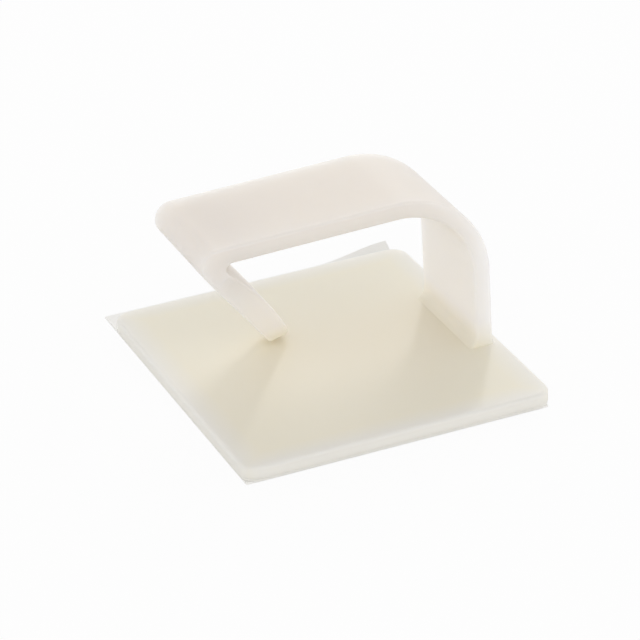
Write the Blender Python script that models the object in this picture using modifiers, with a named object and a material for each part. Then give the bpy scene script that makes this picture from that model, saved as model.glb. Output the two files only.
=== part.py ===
"""Adhesive cable clip: one moulded body, its adhesive tape and the release liner under it.

Metres, +Z up. The origin is on the liner's underside, below the middle of the base plate.
X runs along the strap from the open lip to the leg, Y is the way a cable lies in the clip.
"""
import bpy
import bmesh
from math import cos, pi, radians, sin, tan
from mathutils import Vector

MM = 0.001

# Base plate
BASE_LENGTH = 25.4 * MM
BASE_WIDTH = 28.4 * MM
BASE_THICKNESS = 1.0 * MM
BASE_CORNER_RADIUS = 1.5 * MM
BASE_EDGE_ROUND = 0.12 * MM

# Strap: a band of one thickness that leaves the plate as a leg and comes back as a lip
STRAP_WIDTH = 10.0 * MM
STRAP_THICKNESS = 1.4 * MM
STRAP_RISE = 14.0 * MM
STRAP_DROOP = radians(1.3)
STRAP_EDGE_ROUND = 0.16 * MM
LEG_SETBACK = 0.75 * MM
LEG_BEND_RADIUS = 7.4 * MM
LEG_FILLET_INSIDE = 1.0 * MM
LEG_FILLET_OUTSIDE = 0.35 * MM
NOSE_SETBACK = 1.12 * MM
NOSE_RADIUS = 1.4 * MM
NOSE_INNER_RADIUS = 0.5 * MM
STRAP_ROOT = 0.4 * MM

# Lip: curls down from the nose and is cut across, so that only one corner nears the plate
LIP_START_ANGLE = radians(47.0)
LIP_END_ANGLE = radians(61.0)
LIP_OUTER_ANGLE = radians(54.6)
LIP_STRAIGHT = 0.6 * MM
LIP_TIP_GAP = 0.35 * MM
LIP_TIP_WIDTH = 1.5 * MM
LIP_TIP_ROUND = 0.4 * MM
LIP_CUT_CLEARANCE = 0.1 * MM

# Adhesive tape and release liner
TAPE_THICKNESS = 0.2 * MM
TAPE_MARGIN = 0.3 * MM
TAPE_CORNER_RADIUS = 0.3 * MM
LINER_THICKNESS = 0.15 * MM
LINER_LEFT_MARGIN = 0.15 * MM
LINER_RIGHT_MARGIN = 0.45 * MM
LINER_FRONT_MARGIN = 0.25 * MM
LINER_TAB = 2.1 * MM
LINER_CURL_LENGTH = 6.4 * MM
LINER_CURL_RISE = 0.8 * MM
LINER_CURL_POWER = 1.5
LINER_CELLS = (26, 6)

ARC_STEP = radians(7.5)
ROUNDED_FROM = radians(40)
SHARP_FROM = radians(35)
FLAT_WITHIN = radians(0.2)
WELD_DISTANCE = 0.001 * MM
CUTTER_MARGIN = 3.0 * MM
FILLET_OVERLAP = 0.02 * MM

LINER_TOP = LINER_THICKNESS
TAPE_TOP = LINER_TOP + TAPE_THICKNESS
PLATE_TOP = TAPE_TOP + BASE_THICKNESS
LEG_FACE = BASE_LENGTH / 2 - LEG_SETBACK
NOSE_FACE = -BASE_LENGTH / 2 + NOSE_SETBACK


def clear_scene():
    for obj in list(bpy.data.objects):
        bpy.data.objects.remove(obj, do_unlink=True)


def new_collection(name):
    collection = bpy.data.collections.new(name)
    bpy.context.scene.collection.children.link(collection)
    return collection


def make_material(name, colour, roughness, metallic=0.0):
    material = bpy.data.materials.new(name)
    material.use_nodes = True
    shader = material.node_tree.nodes["Principled BSDF"]
    shader.inputs["Base Color"].default_value = (*colour, 1.0)
    shader.inputs["Roughness"].default_value = roughness
    shader.inputs["Metallic"].default_value = metallic
    return material


def arc_points(centre, radius, start, end):
    """Points on an arc, both ends included."""
    steps = max(3, round(abs(end - start) / ARC_STEP))
    angles = [start + (end - start) * i / steps for i in range(steps + 1)]
    return [(centre[0] + radius * cos(a), centre[1] + radius * sin(a)) for a in angles]


def rounded_rectangle(x0, x1, y0, y1, radius):
    corners = (
        (x1 - radius, y1 - radius, 0.0),
        (x0 + radius, y1 - radius, pi / 2),
        (x0 + radius, y0 + radius, pi),
        (x1 - radius, y0 + radius, 3 * pi / 2),
    )
    outline = []
    for x, y, start in corners:
        outline += arc_points((x, y), radius, start, start + pi / 2)
    return outline


def extruded_outline(name, outline, thickness):
    """Closed solid from a flat outline, extruded evenly to both sides of its own plane."""
    curve = bpy.data.curves.new(name + "_outline", "CURVE")
    curve.dimensions = "2D"
    curve.fill_mode = "BOTH"
    curve.extrude = thickness / 2
    spline = curve.splines.new("POLY")
    spline.points.add(len(outline) - 1)
    for point, (x, y) in zip(spline.points, outline):
        point.co = (x, y, 0.0, 1.0)
    spline.use_cyclic_u = True
    drawing = bpy.data.objects.new(name + "_drawing", curve)
    bpy.context.scene.collection.objects.link(drawing)
    depsgraph = bpy.context.evaluated_depsgraph_get()
    mesh = bpy.data.meshes.new_from_object(drawing.evaluated_get(depsgraph))
    bpy.data.objects.remove(drawing, do_unlink=True)
    bm = bmesh.new()
    bm.from_mesh(mesh)
    bmesh.ops.remove_doubles(bm, verts=bm.verts, dist=WELD_DISTANCE)
    bmesh.ops.dissolve_limit(bm, angle_limit=FLAT_WITHIN, verts=bm.verts, edges=bm.edges)
    bmesh.ops.recalc_face_normals(bm, faces=bm.faces)
    bm.to_mesh(mesh)
    bm.free()
    mesh.name = name
    return bpy.data.objects.new(name, mesh)


def add_edge_round(obj, width):
    bevel = obj.modifiers.new("edge_round", "BEVEL")
    bevel.width = width
    bevel.segments = 2
    bevel.limit_method = "ANGLE"
    bevel.angle_limit = ROUNDED_FROM
    return bevel


def shade(obj):
    obj.data.shade_smooth()
    obj.data.set_sharp_from_angle(angle=SHARP_FROM)


class FacePath:
    """One face of the bent strap, drawn in the XZ plane by straight runs and arcs."""

    def __init__(self, x, z, heading):
        self.points = [(x, z)]
        self.heading = heading

    def line(self, length):
        x, z = self.points[-1]
        self.points.append((x + length * cos(self.heading), z + length * sin(self.heading)))

    def turn(self, radius, angle):
        """Arc of the given radius; a positive angle turns to the left."""
        x, z = self.points[-1]
        to_centre = self.heading + (pi / 2 if angle > 0 else -pi / 2)
        centre = (x + radius * cos(to_centre), z + radius * sin(to_centre))
        self.points += arc_points(centre, radius, to_centre + pi, to_centre + pi + angle)[1:]
        self.heading += angle


def strap_face(inset, nose_radius, lip_angle):
    """Face at an inset from the strap's outer face: leg, bend, drooping top and nose.

    Heights are above the plate's top face.
    """
    bend = pi / 2 + STRAP_DROOP
    fold = pi - lip_angle - STRAP_DROOP
    trim = (NOSE_RADIUS - inset - nose_radius) * tan(fold / 2)

    face = FacePath(LEG_FACE - inset, -STRAP_ROOT, pi / 2)
    face.line(STRAP_ROOT + STRAP_RISE - LEG_BEND_RADIUS * tan(bend / 2))
    face.turn(LEG_BEND_RADIUS - inset, bend)
    nose_start = NOSE_FACE + NOSE_RADIUS - (NOSE_RADIUS - inset) * sin(STRAP_DROOP)
    face.line((face.points[-1][0] - nose_start) / cos(STRAP_DROOP) + trim)
    face.turn(nose_radius, fold)
    return face


def outer_lip(face):
    """Straight outer side of the lip, rounded into its flat tip over the plate."""
    drop = face.points[-1][1] - LIP_TIP_GAP
    face.line(drop / sin(LIP_OUTER_ANGLE) - LIP_TIP_ROUND * tan(LIP_OUTER_ANGLE / 2))
    face.turn(LIP_TIP_ROUND, LIP_OUTER_ANGLE)


def inner_lip(face):
    """Inner side of the lip: straight at first, then slowly steeper, and round at the tip.

    Gives the point where the tip reaches furthest.
    """
    face.line(LIP_STRAIGHT)
    corner = pi - LIP_END_ANGLE
    drop = face.points[-1][1] - LIP_TIP_GAP - LIP_TIP_ROUND * (1.0 - cos(corner))
    face.turn(drop / (cos(LIP_START_ANGLE) - cos(LIP_END_ANGLE)), LIP_START_ANGLE - LIP_END_ANGLE)
    x, z = face.points[-1]
    face.turn(LIP_TIP_ROUND, -corner)
    return x + LIP_TIP_ROUND * (1.0 - sin(LIP_END_ANGLE)), z - LIP_TIP_ROUND * cos(LIP_END_ANGLE)


def foot_outline():
    """Closed XZ outline of the leg's foot: a fillet on each side, sunk into leg and plate."""
    r_out, r_in = LEG_FILLET_OUTSIDE, LEG_FILLET_INSIDE
    outside = (LEG_FACE + r_out - FILLET_OVERLAP, r_out - FILLET_OVERLAP)
    inside = (LEG_FACE - STRAP_THICKNESS - r_in + FILLET_OVERLAP, r_in - FILLET_OVERLAP)
    foot_out = [(outside[0], -STRAP_ROOT)] + arc_points(outside, r_out, 3 * pi / 2, pi)
    foot_in = arc_points(inside, r_in, 2 * pi, 3 * pi / 2) + [(inside[0], -STRAP_ROOT)]
    return foot_out + foot_in


def along_lip(point):
    """Distance down the lip and height square to it, of a point in the XZ plane."""
    x, z = point
    return (x * cos(LIP_OUTER_ANGLE) - z * sin(LIP_OUTER_ANGLE),
            x * sin(LIP_OUTER_ANGLE) + z * cos(LIP_OUTER_ANGLE))


def lip_cut_outline(start, end):
    """Outline, down the lip and across it, of what is cut off in front of a slanting line."""
    half_width = STRAP_WIDTH / 2
    start = Vector((start, -half_width))
    end = Vector((end, half_width - LIP_TIP_WIDTH))
    along = (end - start).normalized() * CUTTER_MARGIN
    first, last = start - along, end + along
    front = first.y - CUTTER_MARGIN
    return [(first.x, first.y), (first.x, front), (last.x, front), (last.x, last.y)]


def build_lip_cut(inner, fold_end, tip):
    """Cutter square to the lip's outer side, which stops just above its inner side."""
    outline = lip_cut_outline(along_lip(inner.points[fold_end])[0], along_lip(tip)[0])
    top = max(along_lip(point)[1] for point in inner.points[fold_end:]) + LIP_CUT_CLEARANCE
    depth = STRAP_THICKNESS + CUTTER_MARGIN
    cutter = extruded_outline("lip_cut", outline, depth)
    cutter.rotation_euler = (0.0, LIP_OUTER_ANGLE, 0.0)
    square = Vector((sin(LIP_OUTER_ANGLE), 0.0, cos(LIP_OUTER_ANGLE)))
    cutter.location = square * (top - depth / 2) + Vector((0.0, 0.0, PLATE_TOP))
    return cutter


def stand_on_plate(obj):
    """Turns a flat outline's solid upright along the XZ plane, heights from the plate's top."""
    obj.rotation_euler = (pi / 2, 0.0, 0.0)
    obj.location = (0.0, 0.0, PLATE_TOP)


def add_boolean(obj, tool, operation, collection):
    """Combines a hidden tool solid with the object."""
    tool.hide_render = True
    tool.display_type = "WIRE"
    collection.objects.link(tool)
    modifier = obj.modifiers.new(tool.name, "BOOLEAN")
    modifier.operation = operation
    modifier.object = tool


def build_strap(cutters):
    outer = strap_face(0.0, NOSE_RADIUS, LIP_OUTER_ANGLE)
    inner = strap_face(STRAP_THICKNESS, NOSE_INNER_RADIUS, LIP_START_ANGLE)
    fold_end = len(inner.points) - 1
    outer_lip(outer)
    tip = inner_lip(inner)
    strap = extruded_outline("strap", outer.points + inner.points[::-1], STRAP_WIDTH)
    stand_on_plate(strap)
    add_edge_round(strap, STRAP_EDGE_ROUND)
    add_boolean(strap, build_lip_cut(inner, fold_end, tip), "DIFFERENCE", cutters)
    return strap


def build_foot():
    foot = extruded_outline("foot", foot_outline(), STRAP_WIDTH - 2 * STRAP_EDGE_ROUND)
    stand_on_plate(foot)
    return foot


def build_body(collection, cutters, material):
    """Base plate with the strap and its foot grown onto it, all one moulding."""
    half_x, half_y = BASE_LENGTH / 2, BASE_WIDTH / 2
    plan = rounded_rectangle(-half_x, half_x, -half_y, half_y, BASE_CORNER_RADIUS)
    body = extruded_outline("clip_body", plan, BASE_THICKNESS)
    body.location = (0.0, 0.0, TAPE_TOP + BASE_THICKNESS / 2)
    collection.objects.link(body)
    add_edge_round(body, BASE_EDGE_ROUND)
    add_boolean(body, build_strap(cutters), "UNION", cutters)
    add_boolean(body, build_foot(), "UNION", cutters)
    body.data.materials.append(material)
    shade(body)
    return body


def build_tape(collection, material):
    half_x, half_y = BASE_LENGTH / 2 - TAPE_MARGIN, BASE_WIDTH / 2 - TAPE_MARGIN
    plan = rounded_rectangle(-half_x, half_x, -half_y, half_y, TAPE_CORNER_RADIUS)
    tape = extruded_outline("adhesive_tape", plan, TAPE_THICKNESS)
    tape.location = (0.0, 0.0, LINER_TOP + TAPE_THICKNESS / 2)
    tape.data.materials.append(material)
    collection.objects.link(tape)
    return tape


def ease(value):
    value = min(max(value, 0.0), 1.0)
    return value * value * (3.0 - 2.0 * value)


def build_liner(collection, material):
    """Square-cornered sheet with a peel tab past the plate's back edge, one corner curled up."""
    x0 = -BASE_LENGTH / 2 + LINER_LEFT_MARGIN
    x1 = BASE_LENGTH / 2 - LINER_RIGHT_MARGIN
    y0 = -BASE_WIDTH / 2 + LINER_FRONT_MARGIN
    fold = BASE_WIDTH / 2
    bm = bmesh.new()
    bmesh.ops.create_grid(bm, x_segments=LINER_CELLS[0], y_segments=LINER_CELLS[1], size=0.5)
    for vert in bm.verts:
        u, v = vert.co.x + 0.5, vert.co.y + 0.5
        row = round(v * LINER_CELLS[1])
        beyond = (row - 1) / (LINER_CELLS[1] - 1)
        x = x0 + (x1 - x0) * u
        y = fold + LINER_TAB * beyond if row else y0
        corner = ease((x - x1 + LINER_CURL_LENGTH) / LINER_CURL_LENGTH)
        rise = LINER_CURL_RISE * corner * max(0.0, beyond) ** LINER_CURL_POWER
        vert.co = (x, y, rise)
    mesh = bpy.data.meshes.new("release_liner")
    bm.to_mesh(mesh)
    bm.free()
    liner = bpy.data.objects.new("release_liner", mesh)
    liner.data.materials.append(material)
    collection.objects.link(liner)
    sheet = liner.modifiers.new("sheet", "SOLIDIFY")
    sheet.thickness = LINER_THICKNESS
    sheet.offset = 1.0
    return liner


def main():
    clear_scene()
    parts = new_collection("adhesive_cable_clip")
    cutters = new_collection("cutters")
    nylon = make_material("natural_nylon", (0.78, 0.74, 0.66), 0.42)
    adhesive = make_material("tape", (0.82, 0.80, 0.75), 0.6)
    paper = make_material("liner_paper", (0.70, 0.70, 0.68), 0.55)
    build_body(parts, cutters, nylon)
    build_tape(parts, adhesive)
    build_liner(parts, paper)


main()
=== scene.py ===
"""Adhesive cable clip: a nylon moulding on its tape and release liner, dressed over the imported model."""
from math import cos, pi, radians, sin, tan

import bmesh
import bpy
from mathutils import Matrix, Vector


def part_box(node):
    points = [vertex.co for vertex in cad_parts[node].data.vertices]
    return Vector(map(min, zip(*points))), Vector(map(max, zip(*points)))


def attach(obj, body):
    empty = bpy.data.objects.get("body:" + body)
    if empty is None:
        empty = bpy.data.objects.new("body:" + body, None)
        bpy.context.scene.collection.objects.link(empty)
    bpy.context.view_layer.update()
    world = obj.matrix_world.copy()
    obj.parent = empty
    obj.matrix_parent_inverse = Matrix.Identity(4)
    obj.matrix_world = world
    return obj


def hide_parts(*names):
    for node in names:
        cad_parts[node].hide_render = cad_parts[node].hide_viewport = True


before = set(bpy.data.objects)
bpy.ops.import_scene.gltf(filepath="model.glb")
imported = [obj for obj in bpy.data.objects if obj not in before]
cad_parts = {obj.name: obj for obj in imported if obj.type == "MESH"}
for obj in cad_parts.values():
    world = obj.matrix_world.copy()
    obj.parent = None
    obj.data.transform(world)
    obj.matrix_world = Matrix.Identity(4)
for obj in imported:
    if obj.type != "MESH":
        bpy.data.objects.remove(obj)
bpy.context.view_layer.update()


# Base plate: the foot of the one-piece nylon moulding, a thin plate with rounded corners.
# Its top rim is well rounded, and its bottom rim only slightly, so that it sits flat on the tape.
MM = 0.001
plate_low, body_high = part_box("clip_body")
plate_length = body_high.x - plate_low.x
plate_depth = body_high.y - plate_low.y
plate_thickness = 1.0 * MM
plate_corner = 1.5 * MM
plate_rim = 0.3 * MM
plate_foot_rim = 0.06 * MM
plate_top = plate_low.z + plate_thickness
same_level = 0.01 * MM


def extrude_all(bm, move):
    """Extrudes every face and moves the copy."""
    grown = bmesh.ops.extrude_face_region(bm, geom=bm.faces[:], use_keep_orig=True)["geom"]
    bmesh.ops.translate(bm, vec=move, verts=[part for part in grown if isinstance(part, bmesh.types.BMVert)])


def rounded_sheet(length, depth, corner, corner_steps, low, thickness):
    """A flat sheet with round corners, centred on the Z axis."""
    bm = bmesh.new()
    bmesh.ops.create_grid(bm, x_segments=1, y_segments=1, size=0.5)
    bmesh.ops.scale(bm, vec=(length, depth, 1.0), verts=bm.verts)
    bmesh.ops.bevel(bm, geom=bm.verts[:], offset=corner, offset_type="OFFSET", segments=corner_steps,
                    profile=0.5, affect="VERTICES", clamp_overlap=True, material=-1)
    bmesh.ops.translate(bm, vec=(0.0, 0.0, low), verts=bm.verts)
    extrude_all(bm, (0.0, 0.0, thickness))
    return bm


def sharp_edges(bm, angle):
    return [edge for edge in bm.edges if edge.is_manifold and edge.calc_face_angle() > angle]


def bevel_edges(bm, edges, width, segments):
    bmesh.ops.bevel(bm, geom=edges, offset=width, offset_type="OFFSET", segments=segments,
                    profile=0.5, affect="EDGES", clamp_overlap=False, material=-1)


def finished(name, bm):
    """Turns a bmesh into an object at the world origin."""
    bmesh.ops.recalc_face_normals(bm, faces=bm.faces)
    mesh = bpy.data.meshes.new(name)
    bm.to_mesh(mesh)
    bm.free()
    piece = bpy.data.objects.new(name, mesh)
    bpy.context.scene.collection.objects.link(piece)
    return piece


def shade(piece, sharp_from):
    piece.data.shade_smooth()
    piece.data.set_sharp_from_angle(angle=radians(sharp_from))


bm = rounded_sheet(plate_length, plate_depth, plate_corner, 16, plate_low.z, plate_thickness)
bmesh.ops.recalc_face_normals(bm, faces=bm.faces)
for level, width in ((plate_top, plate_rim), (plate_low.z, plate_foot_rim)):
    rim = [edge for edge in sharp_edges(bm, radians(60))
           if all(abs(vert.co.z - level) < same_level for vert in edge.verts)]
    bevel_edges(bm, rim, width, 4)
plate = finished("base_plate_shape", bm)


# Strap: grown from the plate as a leg, bent over in a wide curve, folded tightly at the nose and
# brought back down as a slightly thicker lip. Each face is drawn as a chain of points in the side
# view, the two are bridged, and the band is extruded to its width.
strap_width = 10.0 * MM
strap_wall = 1.4 * MM
strap_rise = 14.0 * MM
strap_droop = radians(1.3)
strap_rim = 0.25 * MM
leg_setback = 0.75 * MM
leg_bend = 7.4 * MM
leg_sink = 0.4 * MM
foot_inside = 1.0 * MM
foot_outside = 0.4 * MM
foot_sink = 0.03 * MM
foot_slope = radians(15)
nose_setback = 1.12 * MM
nose_outside = 1.4 * MM
nose_inside = 0.5 * MM
lip_start = radians(47.0)
lip_end = radians(61.0)
lip_outside = radians(54.6)
lip_straight = 0.6 * MM
lip_lead = 0.12 * MM
lip_gap = 0.35 * MM
lip_tip_width = 1.5 * MM
lip_tip_round = 0.4 * MM
tip_steps = 8
rims_from = plate_top - 0.1 * MM

leg_face = body_high.x - leg_setback
nose_face = plate_low.x + nose_setback


class Chain:
    """A chain of points drawn in the XZ plane by straight runs and bends."""

    def __init__(self, bm, x, z, heading):
        self.bm = bm
        self.heading = heading
        self.verts = [bm.verts.new((x, -strap_width / 2, z))]

    def ahead(self, turned=0.0):
        return Vector((cos(self.heading + turned), 0.0, sin(self.heading + turned)))

    def run(self, length, steps=1):
        for _ in range(steps):
            grown = bmesh.ops.extrude_vert_indiv(self.bm, verts=[self.verts[-1]])["verts"]
            bmesh.ops.translate(self.bm, vec=self.ahead() * length / steps, verts=grown)
            self.verts += grown

    def bend(self, radius, angle, steps):
        """An arc; a positive angle turns left, seen with X to the right and Z up."""
        centre = self.verts[-1].co + self.ahead(pi / 2 if angle > 0 else -pi / 2) * radius
        count = len(self.bm.verts)
        bmesh.ops.spin(self.bm, geom=[self.verts[-1]], cent=centre, axis=(0.0, -1.0, 0.0), angle=angle,
                       steps=steps)
        self.bm.verts.ensure_lookup_table()
        self.verts += self.bm.verts[count:]
        self.heading += angle


def strap_face(bm, inset, nose_radius, foot_radius, lip_angle):
    """One face of the strap, inset from its outer face, from the root in the plate to the end of the nose."""
    side = 1.0 if inset == 0.0 else -1.0
    sweep = pi / 2 - foot_slope
    reach = foot_radius * (1.0 - cos(sweep))
    bend = pi / 2 + strap_droop
    fold = pi - lip_angle - strap_droop
    trim = (nose_outside - inset - nose_radius) * tan(fold / 2)

    chain = Chain(bm, leg_face - inset + side * reach, plate_top - leg_sink, pi / 2)
    chain.run(leg_sink - foot_sink)
    chain.heading = pi / 2 + side * sweep
    chain.bend(foot_radius, -side * sweep, steps=8)
    chain.run(plate_top + strap_rise - leg_bend * tan(bend / 2) - chain.verts[-1].co.z, steps=3)
    chain.bend(leg_bend - inset, bend, steps=48)
    nose_start = nose_face + nose_outside - (nose_outside - inset) * sin(strap_droop)
    chain.run((chain.verts[-1].co.x - nose_start) / cos(strap_droop) + trim, steps=6)
    chain.bend(nose_radius, fold, steps=32)
    return chain


def down_lip(vert):
    """How far down the lip a point lies, measured along its outer side."""
    return vert.co.x * cos(lip_outside) - vert.co.z * sin(lip_outside)


def on_side(face):
    return abs(face.normal.y) > 0.5


bm = bmesh.new()
outer = strap_face(bm, 0.0, nose_outside, foot_outside, lip_outside)
inner = strap_face(bm, strap_wall, nose_inside, foot_inside, lip_start)
# The lip's outer side is straight, its inner side grows steeper, and its tip is flat with round corners.
# Both sides have a point where the trim starts, square across the lip.
inner.run(lip_lead)
outer.run(down_lip(inner.verts[-1]) - down_lip(outer.verts[-1]))
trim_start = len(inner.verts) - 1
drop = outer.verts[-1].co.z - plate_top - lip_gap
outer.run(drop / sin(lip_outside) - lip_tip_round * tan(lip_outside / 2), steps=19)
outer.bend(lip_tip_round, lip_outside, tip_steps)
inner.run(lip_straight - lip_lead, steps=3)
tip_turn = pi - lip_end
drop = inner.verts[-1].co.z - plate_top - lip_gap - lip_tip_round * (1.0 - cos(tip_turn))
inner.bend(drop / (cos(lip_start) - cos(lip_end)), lip_start - lip_end, steps=16)
inner.bend(lip_tip_round, -tip_turn, tip_steps)
bmesh.ops.bridge_loops(bm, edges=bm.edges[:])
extrude_all(bm, (0.0, strap_width, 0.0))
# The lip is trimmed along a slanting line from the end of the fold, so that only one narrow corner of it
# is left to reach the plate.
cut_start = down_lip(inner.verts[trim_start])
cut_end = max(down_lip(vert) for vert in inner.verts[-tip_steps - 1:])
for vert in outer.verts[trim_start:] + inner.verts[trim_start:]:
    vert.co.y += (down_lip(vert) - cut_start) / (cut_end - cut_start) * (strap_width - lip_tip_width)
bmesh.ops.recalc_face_normals(bm, faces=bm.faces)
# The flat sides lose their rungs, which would stop the rims from being rounded at their full width.
flat_rungs = [edge for edge in bm.edges if edge.calc_face_angle() < radians(1)
              and all(on_side(face) for face in edge.link_faces)]
bmesh.ops.dissolve_edges(bm, edges=flat_rungs, use_verts=False, use_face_split=False)
side_rims = [edge for edge in sharp_edges(bm, radians(40)) if any(on_side(face) for face in edge.link_faces)
             and min(vert.co.z for vert in edge.verts) > rims_from]
bevel_edges(bm, side_rims, strap_rim, 5)
strap = finished("strap_shape", bm)

# The two shapes are one moulding, so they are joined into one skin.
join = plate.modifiers.new("join", "BOOLEAN")
join.operation = "UNION"
join.object = strap
joined = plate.evaluated_get(bpy.context.evaluated_depsgraph_get())
moulding = bpy.data.objects.new("clip_moulding", bpy.data.meshes.new_from_object(joined))
moulding.data.name = "clip_moulding"
bpy.context.scene.collection.objects.link(moulding)
for shape in (plate, strap):
    bpy.data.objects.remove(shape, do_unlink=True)
shade(moulding, 35)
even = moulding.modifiers.new("even_normals", "WEIGHTED_NORMAL")
even.keep_sharp = True


class Shade:
    """A value on its way through a material's nodes. Arithmetic on it adds Math nodes."""

    def __init__(self, tree, socket):
        self.tree = tree
        self.socket = socket

    @classmethod
    def node(cls, tree, kind, settings=None, sockets=None, out=0):
        """Adds a node: its settings first, then the values or links of its sockets."""
        node = tree.nodes.new(kind)
        for name, value in (settings or {}).items():
            if name == "stops":
                ramp = node.color_ramp
                while len(ramp.elements) < len(value):
                    ramp.elements.new(0.5)
                for element, (place, colour) in zip(ramp.elements, value):
                    element.position = place
                    element.color = colour
            else:
                setattr(node, name, value)
        for name, value in (sockets or {}).items():
            if isinstance(value, Shade):
                tree.links.new(value.socket, node.inputs[name])
            else:
                node.inputs[name].default_value = value
        return cls(tree, node.outputs[out])

    def math(self, operation, first, second):
        return Shade.node(self.tree, "ShaderNodeMath", {"operation": operation}, {0: first, 1: second})

    def __add__(self, other):
        return self.math("ADD", self, other)

    def __radd__(self, other):
        return self.math("ADD", other, self)

    def __sub__(self, other):
        return self.math("SUBTRACT", self, other)

    def __rsub__(self, other):
        return self.math("SUBTRACT", other, self)

    def __mul__(self, other):
        return self.math("MULTIPLY", self, other)

    def __rmul__(self, other):
        return self.math("MULTIPLY", other, self)

    def __abs__(self):
        return self.math("ABSOLUTE", self, 0.0)

    def larger(self, other):
        return self.math("MAXIMUM", self, other)


def split(vector):
    """The X, Y and Z of a vector."""
    node = Shade.node(vector.tree, "ShaderNodeSeparateXYZ", {}, {"Vector": vector}).socket.node
    return [Shade(vector.tree, part) for part in node.outputs]


def climb(value, low, high):
    """Rises from 0 to 1 while the value goes from low to high."""
    return Shade.node(value.tree, "ShaderNodeMapRange", {},
                      {"Value": value, "From Min": low, "From Max": high})


def noise(where, scale, detail=2.0, roughness=0.5):
    return Shade.node(where.tree, "ShaderNodeTexNoise", {},
                      {"Vector": where, "Scale": scale, "Detail": detail, "Roughness": roughness})


def blend(factor, first, second):
    """A mix of two colours, either of which may be a mix itself."""
    first, second = [colour if isinstance(colour, Shade) else (*colour, 1.0) for colour in (first, second)]
    return Shade.node(factor.tree, "ShaderNodeMix", {"data_type": "RGBA"},
                      {0: factor, 6: first, 7: second}, out=2)


def bump(height, strength, distance):
    return Shade.node(height.tree, "ShaderNodeBump", {},
                      {"Strength": strength, "Distance": distance, "Height": height})


def new_finish(name):
    finish = bpy.data.materials.new(name)
    finish.use_nodes = True
    tree = finish.node_tree
    where = Shade.node(tree, "ShaderNodeTexCoord", out="Object")
    return finish, tree, where, tree.nodes["Principled BSDF"]


def drive(shader, name, value):
    value.tree.links.new(value.socket, shader.inputs[name])


def mix_surfaces(factor, first, second):
    """Sends a mix of two shaders to the material's output."""
    tree = factor.tree
    mix = tree.nodes.new("ShaderNodeMixShader")
    tree.links.new(factor.socket, mix.inputs[0])
    tree.links.new(first.outputs[0], mix.inputs[1])
    tree.links.new(second.outputs[0], mix.inputs[2])
    tree.links.new(mix.outputs[0], tree.nodes["Material Output"].inputs["Surface"])


# Natural nylon: undyed, with the even satin of a fine-etched mould. The thin strap lets light through.
# The strap's colour is painted darker and rosier towards its top: the darkening is painted shade against the
# light from above.
# The plate's colour is painted lighter and yellower than the strap's. Part of the yellow is the tape behind
# it; the rest of the yellow and the extra lightness are painted light that offsets the strap's shade on it.
# Its last 2.2 mm to the edge are painted paler, painted light from the sides.
nylon, tree, where, strap_shader = new_finish("natural_nylon")
plate_shader = tree.nodes.new("ShaderNodeBsdfPrincipled")
across, along, height = split(where)
above_plate = climb(height, plate_top - 0.5 * MM, plate_top + 2.2 * MM)
high_up = climb(height, plate_top + 8.0 * MM, plate_top + 13.5 * MM)
# Painted light: the plate's colour turns paler and greyer over its last 2.2 mm to the edge, standing in for
# light that enters it from the sides.
past_edge = (abs(across) - plate_length / 2).larger(abs(along) - plate_depth / 2)
painted_light_near_edge = climb(past_edge, -2.2 * MM, 0.0)
cloud = noise(where, 90.0, 3.0)
swell = noise(where, 700.0)
etch = noise(where, 9000.0)
relief = bump(0.7 * swell + 0.06 * etch, 0.35, 0.06 * MM)
satin = 0.40 + 0.10 * noise(where, 400.0, 3.0) + 0.05 * etch
# The top colour is darker than the leg's: painted shade against the light that falls on the strap's top from
# above.
leg_colour = blend(cloud, (0.800, 0.755, 0.724), (0.825, 0.780, 0.749))
painted_shade_top_colour = blend(cloud, (0.742, 0.664, 0.606), (0.767, 0.689, 0.631))
# Painted light: the plate is lighter and yellower than the strap. This offsets the strap's shade and stands
# in for light passed through the strap; the tape behind gives part of the yellow.
plate_colour_and_painted_light = blend(cloud, (0.960, 0.890, 0.712), (0.982, 0.914, 0.738))
painted_light_edge_colour = (0.93, 0.90, 0.83)
strap_colour_and_painted_shade = blend(high_up, leg_colour, painted_shade_top_colour)
plate_tint_and_painted_edge_light = blend(painted_light_near_edge, plate_colour_and_painted_light, painted_light_edge_colour)
for shader, tint, see_through, depth in ((strap_shader, strap_colour_and_painted_shade, 1.0, 7.0 * MM),
                                         (plate_shader, plate_tint_and_painted_edge_light, 0.2, 1.0 * MM)):
    drive(shader, "Base Color", tint)
    drive(shader, "Roughness", satin)
    drive(shader, "Normal", relief)
    shader.inputs["Subsurface Weight"].default_value = see_through
    shader.inputs["Subsurface Radius"].default_value = (1.0, 0.95, 0.85)
    shader.inputs["Subsurface Scale"].default_value = depth
    shader.inputs["IOR"].default_value = 1.5
mix_surfaces(above_plate, plate_shader, strap_shader)
moulding.data.materials.clear()
moulding.data.materials.append(nylon)
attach(moulding, "root")
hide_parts("clip_body")


# Adhesive tape: a thin milky film of pressure-sensitive adhesive, die-cut to the plate's shape
# and pressed out nearly to its edge. Its faces stand just clear of the plate and the liner.
tape_low, tape_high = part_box("adhesive_tape")
tape_corner = 1.4 * MM
tape_skin = 0.015 * MM
tape_spread = 0.24 * MM
tape_length = tape_high.x - tape_low.x + 2.0 * tape_spread
tape_depth = tape_high.y - tape_low.y + 2.0 * tape_spread
tape_thickness = tape_high.z - tape_low.z - 2.0 * tape_skin
tape = finished("tape_sheet", rounded_sheet(tape_length, tape_depth, tape_corner, 8,
                                            tape_low.z + tape_skin, tape_thickness))
shade(tape, 40)
adhesive, tree, where, shader = new_finish("tape_film")
drive(shader, "Base Color", blend(noise(where, 1200.0, 3.0), (0.88, 0.86, 0.80), (0.92, 0.90, 0.84)))
drive(shader, "Roughness", 0.45 + 0.2 * noise(where, 2500.0))
tape.data.materials.append(adhesive)
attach(tape, "root")
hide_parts("adhesive_tape")


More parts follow.
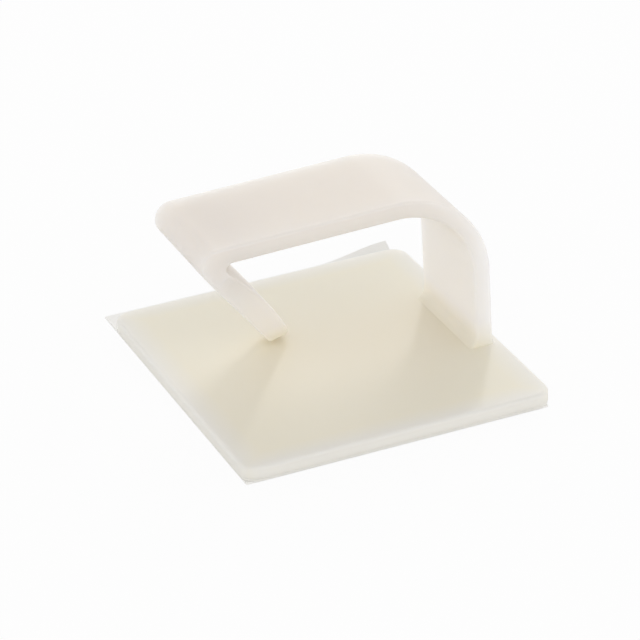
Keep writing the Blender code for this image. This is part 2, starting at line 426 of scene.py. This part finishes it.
# Release liner: coated paper, cut square, longer than the plate so that it can be peeled.
# Its tab lies flat but for the right corner, which has curled up.
liner_low, liner_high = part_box("release_liner")
paper_thickness = 0.15 * MM
curl_length = 6.4 * MM
curl_rise = 0.8 * MM
curl_power = 1.5
fold_y = body_high.y
bm = bmesh.new()
bmesh.ops.create_grid(bm, x_segments=120, y_segments=90, size=0.5)
bmesh.ops.scale(bm, vec=(liner_high.x - liner_low.x, liner_high.y - liner_low.y, 1.0), verts=bm.verts)
bmesh.ops.translate(bm, vec=((liner_high.x + liner_low.x) / 2, (liner_high.y + liner_low.y) / 2, liner_low.z),
                    verts=bm.verts)
for vert in bm.verts:
    beyond = max(0.0, (vert.co.y - fold_y) / (liner_high.y - fold_y))
    corner = min(max((vert.co.x - liner_high.x + curl_length) / curl_length, 0.0), 1.0)
    vert.co.z += curl_rise * corner * corner * (3.0 - 2.0 * corner) * beyond ** curl_power
bmesh.ops.solidify(bm, geom=bm.faces[:], thickness=-paper_thickness)
liner = finished("liner_sheet", bm)
shade(liner, 40)
paper, tree, where, shader = new_finish("liner_paper")
fibre = noise(where, 3000.0, 4.0, 0.6)
drive(shader, "Base Color", blend(fibre, (0.94, 0.93, 0.90), (0.98, 0.97, 0.94)))
drive(shader, "Roughness", 0.42 + 0.2 * fibre)
drive(shader, "Normal", bump(fibre, 0.4, 0.03 * MM))
liner.data.materials.append(paper)
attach(liner, "root")
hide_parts("release_liner")


# Studio: a white floor that fades into a white surround, and an even light from all round that is
# weaker overhead. A tall, narrow lamp behind on the right draws the shadows.
bm = bmesh.new()
bmesh.ops.create_grid(bm, x_segments=1, y_segments=1, size=1.5)
floor = finished("studio_floor", bm)
white, tree, where, shader = new_finish("studio_white")
path = tree.nodes.new("ShaderNodeLightPath")
glow = tree.nodes.new("ShaderNodeEmission")
glow.inputs["Color"].default_value = (1.0, 1.0, 1.0, 1.0)
shader.inputs["Base Color"].default_value = (0.86, 0.86, 0.86, 1.0)
shader.inputs["Roughness"].default_value = 0.9
shader.inputs["Specular IOR Level"].default_value = 0.0
mix_surfaces(0.94 * Shade(tree, path.outputs["Is Camera Ray"]), shader, glow)
floor.data.materials.append(white)

world = bpy.data.worlds.new("studio")
bpy.context.scene.world = world
world.use_nodes = True
tree = world.node_tree
path = tree.nodes.new("ShaderNodeLightPath")
sideways, _, steep = split(Shade.node(tree, "ShaderNodeTexCoord", out="Generated"))
brightness_by_height = ((0.0, 0.59), (0.6, 0.55), (1.0, 0.13))
stops = [(height, (level, level, level, 1.0)) for height, level in brightness_by_height]
surround = Shade.node(tree, "ShaderNodeValToRGB", {"stops": stops}, {"Fac": steep}) * (2.0 + 0.1 * sideways)
straight = Shade(tree, path.outputs["Is Camera Ray"])
seen = straight + (1.0 - straight) * surround
background = tree.nodes["Background"]
background.inputs["Color"].default_value = (1.0, 1.0, 1.0, 1.0)
tree.links.new(seen.socket, background.inputs["Strength"])

key_height = radians(39)
key_distance = 0.7
key_from = Vector((0.53 * cos(key_height), 0.85 * cos(key_height), sin(key_height)))
key = bpy.data.lights.new("key", "AREA")
key.shape = "RECTANGLE"
key.size = 0.05
key.size_y = 0.35
key.energy = 0.46
key_object = bpy.data.objects.new("key", key)
bpy.context.scene.collection.objects.link(key_object)
key_object.location = key_from * key_distance
key_object.rotation_euler = key_from.to_track_quat("Z", "Y").to_euler()


# Camera: seen from the front left, a little above, through a long lens.
azimuth, elevation, roll = radians(21.68), radians(28.06), radians(-3.38)
distance, focal_px = 0.284209, 3650.0
frame_px = 640.0
offset_px = (6.996, 31.921)
back = Vector((-sin(azimuth) * cos(elevation), -cos(azimuth) * cos(elevation), sin(elevation)))
horizontal = (-back).cross(Vector((0.0, 0.0, 1.0))).normalized()
rise = horizontal.cross(-back)
right = cos(roll) * horizontal + sin(roll) * rise
up = cos(roll) * rise - sin(roll) * horizontal
camera = bpy.data.cameras.new("camera")
camera_object = bpy.data.objects.new("camera", camera)
bpy.context.scene.collection.objects.link(camera_object)
placed = Matrix((right, up, back)).transposed().to_4x4()
placed.translation = back * distance + Vector((0.0, 0.0, plate_top))
camera_object.matrix_world = placed
camera.sensor_width = 36.0
camera.lens = focal_px / frame_px * camera.sensor_width
camera.shift_x = -offset_px[0] / frame_px
camera.shift_y = offset_px[1] / frame_px
camera.clip_start = 0.01
bpy.context.scene.camera = camera_object
bpy.context.scene.view_settings.view_transform = "Standard"
